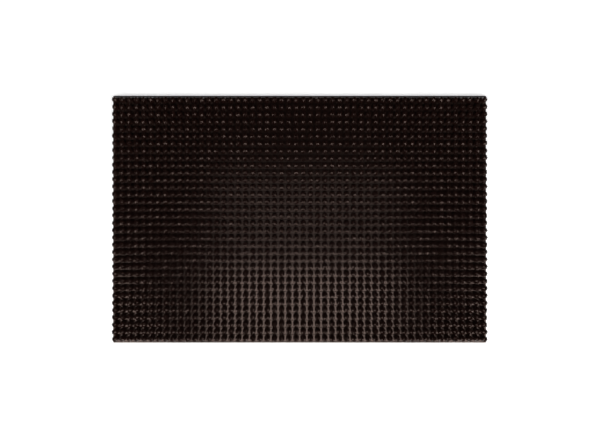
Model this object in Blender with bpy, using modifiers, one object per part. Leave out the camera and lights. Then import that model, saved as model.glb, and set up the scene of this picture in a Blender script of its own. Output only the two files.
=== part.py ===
"""Moulded polyethylene scraper door mat: a flexible base sheet that stands on drainage feet and
carries rows of stiff bristle crowns. Metres, +Z up, +X along the mat's width, -Y its front edge.
The floor is at z = 0 and the mat's centre is above the origin.

Each crown is modelled here as a closed, tapered block of its outer size, and the crowns of a row share
a thin root strip."""

import math

import bmesh
import bpy
from mathutils import Matrix

# Driving dimensions, in metres. Each can be changed by itself.
MAT_WIDTH = 0.598
MAT_DEPTH = 0.396
SHEET_THICKNESS = 0.0016
CROWN_SPACING = 0.0115  # wanted; the pitches below divide the sheet evenly
CROWN_HEIGHT = 0.014  # above the sheet
CROWN_ROOT_WIDTH = 0.0096  # where a crown grows out of the sheet
CROWN_TIP_WIDTH = 0.0068  # across the tips, which lean inwards
ROOT_STRIP = 0.0006  # thickness of the strip that joins the crowns of a row at their roots
SELVAGE_WIDTH = 0.0022  # plain bead along the front and back edges
SELVAGE_HEIGHT = 0.0020
SELVAGE_ROUNDING = 0.0005
GROOVE_WIDTH = 0.0008  # parting line across the sheet between two rows
GROOVE_DEPTH = 0.0004
FOOT_HEIGHT = 0.0014
FOOT_DIAMETER = 0.0060  # where it leaves the sheet
FOOT_TAPER = 0.0006  # how much narrower a foot is at the floor
FOOT_SIDES = 8
PITCHES_PER_FOOT = 4  # crown pitches from one foot to the next
FIT_GAP = 0.0003  # between pieces that touch
CUT_MARGIN = 0.002  # how far a cutter runs past what it cuts

# Worked out from the sizes above.
SHEET_DEPTH = MAT_DEPTH - 2 * (SELVAGE_WIDTH + FIT_GAP)
COLUMNS = round(MAT_WIDTH / CROWN_SPACING)
ROWS = round(SHEET_DEPTH / CROWN_SPACING)
COLUMN_PITCH = MAT_WIDTH / COLUMNS
ROW_PITCH = SHEET_DEPTH / ROWS
SHEET_BOTTOM = FOOT_HEIGHT
SHEET_TOP = SHEET_BOTTOM + SHEET_THICKNESS
ROW_TOP = SHEET_TOP + CROWN_HEIGHT

CHOCOLATE = (0.030, 0.017, 0.012)
ROUGHNESS = {"sheet": 0.42, "bristles": 0.34, "selvage": 0.38}


def clear_scene():
    for item in list(bpy.data.objects):
        bpy.data.objects.remove(item, do_unlink=True)


def new_collection(name, hidden=False):
    collection = bpy.data.collections.new(name)
    collection.hide_render = hidden
    bpy.context.scene.collection.children.link(collection)
    return collection


def plastic(name, roughness):
    material = bpy.data.materials.new(name)
    material.use_nodes = True
    shader = material.node_tree.nodes["Principled BSDF"]
    shader.inputs["Base Color"].default_value = (*CHOCOLATE, 1.0)
    shader.inputs["Roughness"].default_value = roughness
    shader.inputs["Metallic"].default_value = 0.0
    material.diffuse_color = (*CHOCOLATE, 1.0)
    return material


def object_from(builder, name, collection):
    mesh = bpy.data.meshes.new(name)
    builder.to_mesh(mesh)
    builder.free()
    item = bpy.data.objects.new(name, mesh)
    collection.objects.link(item)
    return item


def block(name, size, collection):
    """A box of this size about its own origin."""
    builder = bmesh.new()
    bmesh.ops.create_cube(builder, size=1.0)
    bmesh.ops.scale(builder, vec=size, verts=builder.verts)
    return object_from(builder, name, collection)


def stud(name, bottom_width, top_width, height, sides, collection):
    """A cone or prism standing on its own origin."""
    builder = bmesh.new()
    bmesh.ops.create_cone(
        builder,
        cap_ends=True,
        segments=sides,
        radius1=bottom_width / 2,
        radius2=top_width / 2,
        depth=height,
        matrix=Matrix.Translation((0, 0, height / 2)),
    )
    return object_from(builder, name, collection)


def repeat(item, name, count, step):
    array = item.modifiers.new(name, "ARRAY")
    array.use_relative_offset = False
    array.use_constant_offset = True
    array.constant_offset_displace = step
    array.count = count


def boolean(item, name, operation, other):
    modifier = item.modifiers.new(name, "BOOLEAN")
    modifier.operation = operation
    modifier.solver = "EXACT"
    modifier.object = other


def make_helper(item):
    item.hide_render = True
    item.display_type = "WIRE"


def feet_in_line(crowns, pitch):
    """How many feet stand along a line of crowns, and the place of the first.
    A foot is always under a crossing of two lanes, never under a crown."""
    each_side = (crowns // 2 - 1) // PITCHES_PER_FOOT
    nearest_lane = 0.0 if crowns % 2 == 0 else pitch / 2
    return 2 * each_side + 1, nearest_lane - each_side * PITCHES_PER_FOOT * pitch


def v_cutter(name, width, depth, length, collection):
    """A long bar standing on its corner, which cuts a V of this width and depth below z = 0.
    It lies along X, with its middle over the origin."""
    half_height = depth + CUT_MARGIN
    bar = stud(name, 2 * half_height, 2 * half_height, length + 2 * CUT_MARGIN, 4, collection)
    lay_along_x = Matrix.Rotation(math.pi / 2, 4, "Y") @ Matrix.Translation(
        (0, 0, -length / 2 - CUT_MARGIN)
    )
    narrow = Matrix.Diagonal((1.0, width / (2 * depth), 1.0, 1.0))
    raised = Matrix.Translation((0, 0, CUT_MARGIN))
    bar.data.transform(raised @ narrow @ lay_along_x)
    make_helper(bar)
    return bar


def parting_line_cutter(collection):
    """One bar over every boundary between two rows."""
    bar = v_cutter("parting_line_cutter", GROOVE_WIDTH, GROOVE_DEPTH, MAT_WIDTH, collection)
    bar.location = (0, -(ROWS / 2 - 1) * ROW_PITCH, SHEET_TOP)
    repeat(bar, "Row boundaries", ROWS - 1, (0, ROW_PITCH, 0))
    return bar


def crown_gap_cutter(collection):
    """One bar over every boundary between two columns, across all the rows."""
    width = COLUMN_PITCH - CROWN_TIP_WIDTH
    depth = CROWN_HEIGHT - FIT_GAP - ROOT_STRIP
    bar = v_cutter("crown_gap_cutter", width, depth, SHEET_DEPTH, collection)
    bar.data.transform(Matrix.Rotation(math.pi / 2, 4, "Z"))
    bar.location = (-(COLUMNS / 2 - 1) * COLUMN_PITCH, 0, ROW_TOP)
    repeat(bar, "Column boundaries", COLUMNS - 1, (COLUMN_PITCH, 0, 0))
    return bar


def feet(collection):
    """Short tapered studs below the sheet, which let water run out under it."""
    buried = SHEET_THICKNESS / 2
    top_width = FOOT_DIAMETER + FOOT_TAPER * buried / FOOT_HEIGHT
    foot = stud(
        "feet", FOOT_DIAMETER - FOOT_TAPER, top_width, FOOT_HEIGHT + buried, FOOT_SIDES, collection
    )
    across, first_x = feet_in_line(COLUMNS, COLUMN_PITCH)
    along, first_y = feet_in_line(ROWS, ROW_PITCH)
    foot.location = (first_x, first_y, 0)
    repeat(foot, "Across", across, (PITCHES_PER_FOOT * COLUMN_PITCH, 0, 0))
    repeat(foot, "Along", along, (0, PITCHES_PER_FOOT * ROW_PITCH, 0))
    make_helper(foot)
    return foot


def base_sheet(parts, cutters):
    sheet = block("base_sheet", (MAT_WIDTH, SHEET_DEPTH, SHEET_THICKNESS), parts)
    sheet.location = (0, 0, SHEET_BOTTOM + SHEET_THICKNESS / 2)
    boolean(sheet, "Parting lines", "DIFFERENCE", parting_line_cutter(cutters))
    boolean(sheet, "Feet", "UNION", feet(cutters))
    return sheet


def bristle_row(number, crown_gaps, parts):
    """One row of crowns, narrower at the tips than at the roots, with a gap between each two."""
    between_ends = (COLUMNS - 1) * COLUMN_PITCH
    height = CROWN_HEIGHT - FIT_GAP
    row = block(
        f"bristle_row_{number:02d}",
        (between_ends + CROWN_ROOT_WIDTH, CROWN_ROOT_WIDTH, height),
        parts,
    )
    lean = (CROWN_TIP_WIDTH - CROWN_ROOT_WIDTH) / 2
    for vertex in row.data.vertices:
        if vertex.co.z > 0:
            vertex.co.x += lean * math.copysign(1, vertex.co.x)
            vertex.co.y += lean * math.copysign(1, vertex.co.y)
    y = (number - (ROWS + 1) / 2) * ROW_PITCH
    row.location = (0, y, ROW_TOP - height / 2)
    boolean(row, "Gaps between crowns", "DIFFERENCE", crown_gaps)
    return row


def selvage(name, side, parts):
    """The plain rounded bead that closes the sheet's front (side -1) or back (side +1) edge."""
    bead = block(name, (MAT_WIDTH, SELVAGE_WIDTH, SELVAGE_HEIGHT), parts)
    y = side * (MAT_DEPTH - SELVAGE_WIDTH) / 2
    bead.location = (0, y, SHEET_BOTTOM + SELVAGE_HEIGHT / 2)
    rounding = bead.modifiers.new("Rounding", "BEVEL")
    rounding.width = min(SELVAGE_ROUNDING, SELVAGE_WIDTH / 3, SELVAGE_HEIGHT / 3)
    rounding.segments = 2
    return bead


def main():
    clear_scene()
    parts = new_collection("door_mat")
    cutters = new_collection("door_mat_cutters", hidden=True)
    mat = bpy.data.objects.new("door_mat", None)
    parts.objects.link(mat)

    pieces = [(base_sheet(parts, cutters), "sheet")]
    crown_gaps = crown_gap_cutter(cutters)
    for number in range(1, ROWS + 1):
        pieces.append((bristle_row(number, crown_gaps, parts), "bristles"))
    pieces.append((selvage("front_selvage", -1, parts), "selvage"))
    pieces.append((selvage("back_selvage", 1, parts), "selvage"))

    for item, slot in pieces:
        item.data.materials.append(plastic(item.name, ROUGHNESS[slot]))
        item.parent = mat


main()
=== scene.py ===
"""Looks of the moulded scraper door mat: rows of bladed crowns on a flexible sheet with drainage feet.
Metres, +Z up, +X along the width, -Y the front edge; the floor is at z = 0."""

import math
import random

import bmesh
import bpy
from mathutils import Matrix, Vector


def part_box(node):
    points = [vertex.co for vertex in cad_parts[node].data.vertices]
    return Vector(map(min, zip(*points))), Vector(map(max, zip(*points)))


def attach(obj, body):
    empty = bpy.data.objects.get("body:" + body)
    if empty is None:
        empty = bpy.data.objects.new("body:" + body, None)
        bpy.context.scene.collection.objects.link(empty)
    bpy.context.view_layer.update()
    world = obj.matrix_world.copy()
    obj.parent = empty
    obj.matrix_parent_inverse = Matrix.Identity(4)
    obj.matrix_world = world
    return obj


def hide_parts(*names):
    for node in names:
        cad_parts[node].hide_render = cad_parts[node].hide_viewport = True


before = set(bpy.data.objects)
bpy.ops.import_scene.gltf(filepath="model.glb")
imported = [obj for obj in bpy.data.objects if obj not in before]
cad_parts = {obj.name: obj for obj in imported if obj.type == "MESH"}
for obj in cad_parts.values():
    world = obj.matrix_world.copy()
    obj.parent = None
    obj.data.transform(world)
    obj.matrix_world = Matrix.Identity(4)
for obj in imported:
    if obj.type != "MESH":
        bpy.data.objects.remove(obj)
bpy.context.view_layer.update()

# Crown, in metres
BLADES = 8
COLLAR_HEIGHT = 0.0070  # solid collar that the blades grow out of
COLLAR_ROOT_RADIUS = 0.0051
COLLAR_TOP_RADIUS = 0.0047
HOLLOW_RADIUS = 0.0012
HOLLOW_FLOOR = 0.0004  # height of the blind hollow's floor above the crown's foot
HOLLOW_TAPER = 0.7  # the hollow's width at its floor as a share of its width at the mouth
TIP_WIDTH = 0.0007
TIP_INNER_RADIUS = 0.0011
TIP_OUTER_RADIUS = 0.0035
TIP_SLOPE = 0.0012  # how much lower a tip usually is at its outer end
TIP_SLOPE_SHARES = (0.4, 1.6)  # the least and the most of that slope
BLADE_BEND = 0.0004  # how far a tip strays from its place
BLADE_WEAR = 0.0010  # how much shorter a blade may be than its crown
CROWN_STRETCH = 1.06  # a crown's length from front to back as a share of its width
CROWN_TWIST = 0.15  # radians a crown may be turned out of line
SINK = 0.00015  # how far a crown's foot goes down towards the sheet
CROWN_PATTERNS = 24
CROWN_SMOOTH_ANGLE = math.radians(40)

# Sheet. The first four give a parting line's profile, as distances from the boundary between two rows.
GROOVE_START = -0.0011
GROOVE_BOTTOM = -0.0005
STEP_START = -0.00005
STEP_END = 0.00095
GROOVE_DEPTH = 0.0005
STEP_DEPTH = 0.00005
PITCHES_PER_FOOT = 4
FOOT_SIDES = 16
FOOT_RADIUS = 0.0030
FOOT_TAPER = 0.0003
FOOT_ROUNDING = 0.00035
SHEET_SMOOTH_ANGLE = math.radians(6)

# Plastic
SPECULAR_TINT = (1.0, 0.74, 0.64, 1.0)
PLASTIC_IOR = 1.51
SHADE_SCALE = 60.0  # slow change of colour over the mat
SHADE_DETAIL = 3.0
DARKEST_SHADE = 0.8
LIGHTEST_SHADE = 1.25
GRAIN_DETAIL = 4.0
GRAIN_DEPTH = 0.0002

# Stage
FLOOR_REACH = 6.0  # from the middle to an edge
FLOOR_GLOW = 0.45  # a backlit table, which keeps the ground pale under modest lights
FAINT_LIGHT = 0.025  # from all round
BACKDROP_GLOW = 0.62
CAMERA_ABOVE_SHEET = 0.80
CAMERA_OFFSET = (0.0006, -0.0027)
LENS = 29.93

ROW_PREFIX = "bristle_row_"
SAME_HEIGHT = 1e-6  # heights nearer than this count as the same
SEED = 20


# ---------------------------------------------------------------- the frame
def middle(box, axis):
    return (box[0][axis] + box[1][axis]) / 2


row_names = sorted(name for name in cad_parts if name.startswith(ROW_PREFIX))
sheet_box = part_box("base_sheet")
first_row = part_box(row_names[0])
last_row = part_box(row_names[-1])
row_pitch = (middle(last_row, 1) - middle(first_row, 1)) / (len(row_names) - 1)
sheet_width = sheet_box[1][0] - sheet_box[0][0]
columns = round(sheet_width / row_pitch)
column_pitch = sheet_width / columns
sheet_top = sheet_box[1][2]
sheet_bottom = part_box("front_selvage")[0][2]
crown_foot = first_row[0][2]
crown_height = first_row[1][2] - crown_foot


# ---------------------------------------------------------------- making pieces
def piece_from(builder, name, material, replaces, smooth_angle):
    bmesh.ops.recalc_face_normals(builder, faces=builder.faces)
    mesh = bpy.data.meshes.new(name)
    builder.to_mesh(mesh)
    builder.free()
    mesh.materials.append(material)
    mesh.shade_smooth()
    mesh.set_sharp_from_angle(angle=smooth_angle)
    item = bpy.data.objects.new(name, mesh)
    bpy.context.scene.collection.objects.link(item)
    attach(item, "root")
    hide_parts(replaces)
    return item


# ---------------------------------------------------------------- crowns
def ring_faces(builder, inner, outer, height):
    """The flat ring faces at this height, one for each blade."""
    found = []
    for face in builder.faces:
        centre = face.calc_center_median()
        radius = math.hypot(centre.x, centre.y)
        if abs(centre.z - height) < SAME_HEIGHT and inner < radius < outer:
            found.append(face)
    return found


def crown_template():
    """A tapered collar with a blind hollow down its middle."""
    builder = bmesh.new()
    bmesh.ops.create_cone(
        builder,
        cap_ends=True,
        segments=BLADES,
        radius1=COLLAR_ROOT_RADIUS,
        radius2=COLLAR_TOP_RADIUS,
        depth=COLLAR_HEIGHT,
        matrix=Matrix.Translation((0, 0, COLLAR_HEIGHT / 2)),
    )
    top = max(builder.faces, key=lambda face: face.calc_center_median().z)
    wall = (COLLAR_TOP_RADIUS - HOLLOW_RADIUS) * math.cos(math.pi / BLADES)
    bmesh.ops.inset_region(builder, faces=[top], thickness=wall)
    floor = min(
        (face for face in builder.faces if face.calc_center_median().z > COLLAR_HEIGHT - SAME_HEIGHT),
        key=lambda face: face.calc_center_median().xy.length,
    )
    sunk = bmesh.ops.extrude_discrete_faces(builder, faces=[floor])["faces"][0]
    for vertex in sunk.verts:
        vertex.co = (vertex.co.x * HOLLOW_TAPER, vertex.co.y * HOLLOW_TAPER, HOLLOW_FLOOR)
    return builder


def grow_blades(builder, luck):
    """Extrudes each face of the collar's rim into a tapered blade with a sloping tip."""
    rim = ring_faces(builder, HOLLOW_RADIUS / 2, COLLAR_TOP_RADIUS, COLLAR_HEIGHT)
    tips = bmesh.ops.extrude_discrete_faces(builder, faces=rim)["faces"]
    for tip in tips:
        centre = tip.calc_center_median()
        outwards = Vector((centre.x, centre.y, 0)).normalized()
        sideways = Vector((-outwards.y, outwards.x, 0))
        height = crown_height - luck.uniform(0, BLADE_WEAR)
        slope = TIP_SLOPE * luck.uniform(*TIP_SLOPE_SHARES)
        bend = luck.uniform(-1, 1) * BLADE_BEND
        drift = luck.uniform(-1, 1) * BLADE_BEND
        for vertex in tip.verts:
            across = (vertex.co - centre).dot(sideways)
            outer = (vertex.co - centre).dot(outwards) > 0
            reach = (TIP_OUTER_RADIUS if outer else TIP_INNER_RADIUS) + bend
            aside = math.copysign(TIP_WIDTH / 2, across) + drift
            level = height - (slope if outer else 0)
            vertex.co = outwards * reach + sideways * aside + Vector((0, 0, level))


def crown_mesh(luck):
    builder = crown_template()
    grow_blades(builder, luck)
    mesh = bpy.data.meshes.new("crown")
    builder.to_mesh(mesh)
    builder.free()
    return mesh


def bristle_row(name, patterns, material, luck):
    """A row of crowns, each a turned copy of one of the patterns."""
    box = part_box(name)
    y = middle(box, 1)
    builder = bmesh.new()
    for column in range(columns):
        x = sheet_box[0][0] + (column + 0.5) * column_pitch
        angle = math.pi / BLADES + luck.randrange(BLADES) * 2 * math.pi / BLADES
        angle += luck.uniform(-1, 1) * CROWN_TWIST
        turn = Matrix.Rotation(angle, 4, "Z")
        stretch = Matrix.Diagonal((1, CROWN_STRETCH, 1, 1))
        place = Matrix.Translation((x, y, crown_foot - SINK)) @ stretch @ turn
        start = len(builder.verts)
        builder.from_mesh(luck.choice(patterns))
        builder.verts.ensure_lookup_table()
        bmesh.ops.transform(builder, matrix=place, verts=builder.verts[start:])
    return piece_from(builder, name + "_crowns", material, name, CROWN_SMOOTH_ANGLE)


# ---------------------------------------------------------------- sheet
def sheet_profile():
    """The sheet's outline seen from the side, as points (y, z) all the way round."""
    bottom, top = sheet_bottom, sheet_top
    front, back = sheet_box[0][1], sheet_box[1][1]
    points = [(back, bottom), (front, bottom), (front, top)]
    for row in range(1, len(row_names)):
        y = front + row * row_pitch
        points.append((y + GROOVE_START, top))
        points.append((y + GROOVE_BOTTOM, top - GROOVE_DEPTH))
        points.append((y + STEP_START, top - STEP_DEPTH))
        points.append((y + STEP_END, top))
    points.append((back, top))
    return points


def foot_places(count, pitch):
    """Places along a line of crowns, each under a lane and never under a crown."""
    each_side = (count // 2 - 1) // PITCHES_PER_FOOT
    nearest_lane = 0.0 if count % 2 == 0 else pitch / 2
    return [nearest_lane + step * PITCHES_PER_FOOT * pitch for step in range(-each_side, each_side + 1)]


def add_foot(builder, x, y):
    """A short tapered stud from the floor to the sheet, rounded where it touches the floor."""
    made = bmesh.ops.create_cone(
        builder,
        cap_ends=True,
        segments=FOOT_SIDES,
        radius1=FOOT_RADIUS - FOOT_TAPER,
        radius2=FOOT_RADIUS,
        depth=sheet_bottom,
        matrix=Matrix.Translation((x, y, sheet_bottom / 2)),
    )
    rim = {edge for vertex in made["verts"] for edge in vertex.link_edges}
    rim = [edge for edge in rim if all(vertex.co.z < SAME_HEIGHT for vertex in edge.verts)]
    bmesh.ops.bevel(builder, geom=rim, offset=FOOT_ROUNDING, segments=2, affect="EDGES", profile=0.5)


def sheet(material):
    builder = bmesh.new()
    x = sheet_box[0][0]
    side = builder.faces.new([builder.verts.new((x, y, z)) for y, z in sheet_profile()])
    grown = bmesh.ops.extrude_face_region(builder, geom=[side])["geom"]
    moved = [item for item in grown if isinstance(item, bmesh.types.BMVert)]
    bmesh.ops.translate(builder, vec=(sheet_width, 0, 0), verts=moved)
    for x in foot_places(columns, column_pitch):
        for y in foot_places(len(row_names), row_pitch):
            add_foot(builder, x, y)
    return piece_from(builder, "moulded_sheet", material, "base_sheet", SHEET_SMOOTH_ANGLE)


# ---------------------------------------------------------------- materials
def plastic(name, colour, roughness, bump_scale, bump_strength):
    material = bpy.data.materials.new(name)
    material.use_nodes = True
    nodes, links = material.node_tree.nodes, material.node_tree.links
    shader = nodes["Principled BSDF"]
    shader.inputs["Roughness"].default_value = roughness
    shader.inputs["IOR"].default_value = PLASTIC_IOR
    shader.inputs["Specular Tint"].default_value = SPECULAR_TINT
    where = nodes.new("ShaderNodeTexCoord")
    shade = nodes.new("ShaderNodeTexNoise")
    shade.inputs["Scale"].default_value = SHADE_SCALE
    shade.inputs["Detail"].default_value = SHADE_DETAIL
    links.new(where.outputs["Object"], shade.inputs["Vector"])
    mix = nodes.new("ShaderNodeMix")
    mix.data_type = "RGBA"
    mix.inputs["A"].default_value = (*[c * DARKEST_SHADE for c in colour], 1.0)
    mix.inputs["B"].default_value = (*[c * LIGHTEST_SHADE for c in colour], 1.0)
    links.new(shade.outputs["Fac"], mix.inputs["Factor"])
    links.new(mix.outputs["Result"], shader.inputs["Base Color"])
    grain = nodes.new("ShaderNodeTexNoise")
    grain.inputs["Scale"].default_value = bump_scale
    grain.inputs["Detail"].default_value = GRAIN_DETAIL
    links.new(where.outputs["Object"], grain.inputs["Vector"])
    bump = nodes.new("ShaderNodeBump")
    bump.inputs["Strength"].default_value = bump_strength
    bump.inputs["Distance"].default_value = GRAIN_DEPTH
    links.new(grain.outputs["Fac"], bump.inputs["Height"])
    links.new(bump.outputs["Normal"], shader.inputs["Normal"])
    return material


bristle_plastic = plastic(
    "bristle_plastic", colour=(0.017, 0.0070, 0.0056), roughness=0.25, bump_scale=900, bump_strength=0.15
)
# painted shade: the sheet's plastic is the crowns' plastic given a darker colour, standing in for the shade
# that falls on the sheet between the crowns
sheet_plastic_shade_darkened = plastic(
    "sheet_plastic_shade_darkened", colour=(0.014, 0.0058, 0.0046), roughness=0.18, bump_scale=500, bump_strength=0.10
)


# ---------------------------------------------------------------- build
luck = random.Random(SEED)
patterns = [crown_mesh(luck) for _ in range(CROWN_PATTERNS)]
for name in row_names:
    bristle_row(name, patterns, bristle_plastic, luck)
for pattern in patterns:
    bpy.data.meshes.remove(pattern)
sheet(sheet_plastic_shade_darkened)
# the selvages take the sheet's plastic, so they carry the same painted shade
for name in ("front_selvage", "back_selvage"):
    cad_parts[name].data.materials.clear()
    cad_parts[name].data.materials.append(sheet_plastic_shade_darkened)


# ---------------------------------------------------------------- stage, light and camera
def floor():
    builder = bmesh.new()
    bmesh.ops.create_grid(builder, x_segments=1, y_segments=1, size=FLOOR_REACH)
    mesh = bpy.data.meshes.new("floor")
    builder.to_mesh(mesh)
    builder.free()
    item = bpy.data.objects.new("floor", mesh)
    bpy.context.scene.collection.objects.link(item)
    material = bpy.data.materials.new("pale_floor")
    material.use_nodes = True
    shader = material.node_tree.nodes["Principled BSDF"]
    shader.inputs["Base Color"].default_value = (0.92, 0.92, 0.92, 1.0)
    shader.inputs["Roughness"].default_value = 0.9
    shader.inputs["Specular IOR Level"].default_value = 0.1
    shader.inputs["Emission Color"].default_value = (1.0, 1.0, 1.0, 1.0)
    shader.inputs["Emission Strength"].default_value = FLOOR_GLOW
    mesh.materials.append(material)


def soft_sun(name, azimuth, elevation, spread, strength):
    """Soft light from a compass side (0 is the front, 90 the right) at a height above the horizon."""
    data = bpy.data.lights.new(name, "SUN")
    data.energy = strength
    data.angle = math.radians(spread)
    a, e = math.radians(azimuth), math.radians(elevation)
    towards = Vector((math.sin(a) * math.cos(e), -math.cos(a) * math.cos(e), math.sin(e)))
    item = bpy.data.objects.new(name, data)
    item.rotation_euler = towards.to_track_quat("Z", "Y").to_euler()
    bpy.context.scene.collection.objects.link(item)


def soft_box(name, place, target, size, watts):
    """A square-cornered soft light that faces a target."""
    data = bpy.data.lights.new(name, "AREA")
    data.shape = "RECTANGLE"
    data.size, data.size_y = size
    data.energy = watts
    item = bpy.data.objects.new(name, data)
    item.location = place
    item.rotation_euler = (Vector(place) - Vector(target)).to_track_quat("Z", "Y").to_euler()
    bpy.context.scene.collection.objects.link(item)


def studio_world():
    """Gives the camera a pale backdrop and the objects only a faint light from all round."""
    world = bpy.data.worlds.new("studio")
    world.use_nodes = True
    nodes, links = world.node_tree.nodes, world.node_tree.links
    faint = nodes["Background"]
    faint.inputs["Color"].default_value = (1, 1, 1, 1)
    faint.inputs["Strength"].default_value = FAINT_LIGHT
    backdrop = nodes.new("ShaderNodeBackground")
    backdrop.inputs["Color"].default_value = (1, 1, 1, 1)
    backdrop.inputs["Strength"].default_value = BACKDROP_GLOW
    seen = nodes.new("ShaderNodeLightPath")
    mix = nodes.new("ShaderNodeMixShader")
    links.new(seen.outputs["Is Camera Ray"], mix.inputs["Fac"])
    links.new(faint.outputs["Background"], mix.inputs[1])
    links.new(backdrop.outputs["Background"], mix.inputs[2])
    links.new(mix.outputs["Shader"], nodes["World Output"].inputs["Surface"])
    bpy.context.scene.world = world


floor()
soft_box("overhead_light", place=(0.02, -0.39, 1.05), target=(0.02, -0.39, 0), size=(0.72, 0.34), watts=2.75)
soft_box("ceiling_light", place=(0.02, -0.04, 1.05), target=(0.02, -0.04, 0), size=(0.66, 0.34), watts=0.45)
soft_box("left_light", place=(-0.90, -0.75, 1.20), target=(0, 0, 0), size=(0.9, 0.9), watts=15.0)
soft_box("right_light", place=(0.90, -0.75, 1.20), target=(0, 0, 0), size=(0.9, 0.9), watts=16.0)
soft_sun("front_light", azimuth=0, elevation=45, spread=8, strength=0.2)
studio_world()

# The camera looks straight down from a little in front of the mat's middle.
camera_data = bpy.data.cameras.new("camera")
camera_data.lens = LENS
camera_data.sensor_width = 36.0
camera_data.clip_start = 0.01
camera = bpy.data.objects.new("camera", camera_data)
camera.location = (*CAMERA_OFFSET, sheet_top + CAMERA_ABOVE_SHEET)
bpy.context.scene.collection.objects.link(camera)
bpy.context.scene.camera = camera

bpy.context.scene.view_settings.view_transform = "Standard"
bpy.context.scene.view_settings.look = "None"
